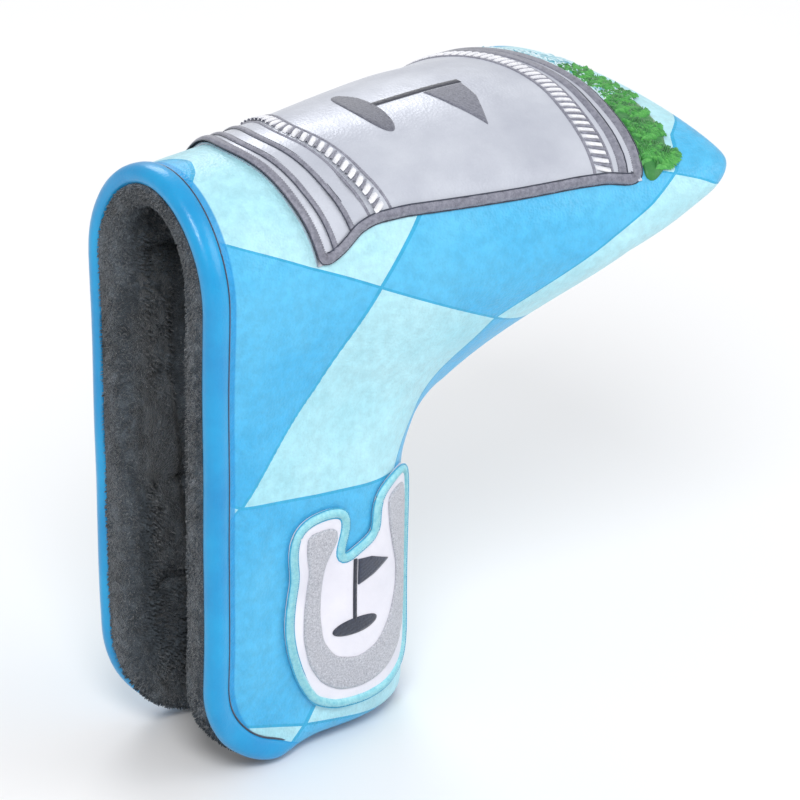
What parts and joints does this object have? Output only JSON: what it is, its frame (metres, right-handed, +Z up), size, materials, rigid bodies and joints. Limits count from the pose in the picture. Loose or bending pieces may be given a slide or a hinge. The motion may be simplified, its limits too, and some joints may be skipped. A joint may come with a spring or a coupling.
{
  "type": "putter head cover",
  "caption": "Padded leather cover for a blade putter's head, with a toe pocket and two magnetic flaps that fold about a sewn spine.",
  "frame": {"origin": "middle of the mouth of the head pocket, in the plane of the heel edge, where the putter's head goes in", "axes": "+X from heel to toe along the head pocket, +Y across the cover from the near flap to the far flap, +Z up towards the crown (the putter's sole side)"},
  "size_m": [0.143, 0.0924, 0.1525],
  "materials": {
    "leather_print": "semi-gloss grain with a two-tone harlequin print",
    "foam": "open-cell padding",
    "plush": "short charcoal pile",
    "magnet": "nickel plated",
    "binding": "smooth semi-gloss",
    "silver_leather": "satin metallic",
    "pale_leather": "smooth satin",
    "grey_thread": "satin stitch",
    "white_thread": "satin stitch",
    "dark_thread": "satin stitch",
    "ice_thread": "satin stitch",
    "green_thread": "satin stitch",
    "sky_thread": "satin stitch",
    "silver_thread": "fill stitch"
  },
  "bodies": {
    "root": {"crown_shell": "leather_print", "crown_foam": "foam", "crown_lining": "plush", "toe_pad": "foam", "crown_binding": "binding", "cup_base": "silver_leather", "cup_border": "grey_thread", "cup_foot_bands": "grey_thread", "cup_foot_rope": "white_thread", "cup_rim_bands": "grey_thread", "cup_rim_rope": "white_thread", "cup_flag": "dark_thread", "ice_embroidery": "ice_thread", "mint_leaves": "green_thread"},
    "near_flap": {"near_flap_shell": "leather_print", "near_flap_foam": "foam", "near_flap_lining": "plush", "near_magnets": "magnet", "near_flap_binding": "binding", "horseshoe_base": "pale_leather", "horseshoe_border": "sky_thread", "horseshoe_fill": "silver_thread", "horseshoe_flag": "dark_thread"},
    "far_flap": {"far_flap_shell": "leather_print", "far_flap_foam": "foam", "far_flap_lining": "plush", "far_magnets": "magnet", "far_flap_binding": "binding"}
  },
  "joints": [
    {"name": "near_flap_hinge", "type": "hinge", "parent": "root", "child": "near_flap", "pos_m": [0.0702, 0, -0.08], "axis": [0, 0, 1], "range_deg": [-10, 20]},
    {"name": "far_flap_hinge", "type": "hinge", "parent": "root", "child": "far_flap", "pos_m": [0.0702, 0, -0.08], "axis": [0, 0, 1], "range_deg": [-20, 10]}
  ]
}
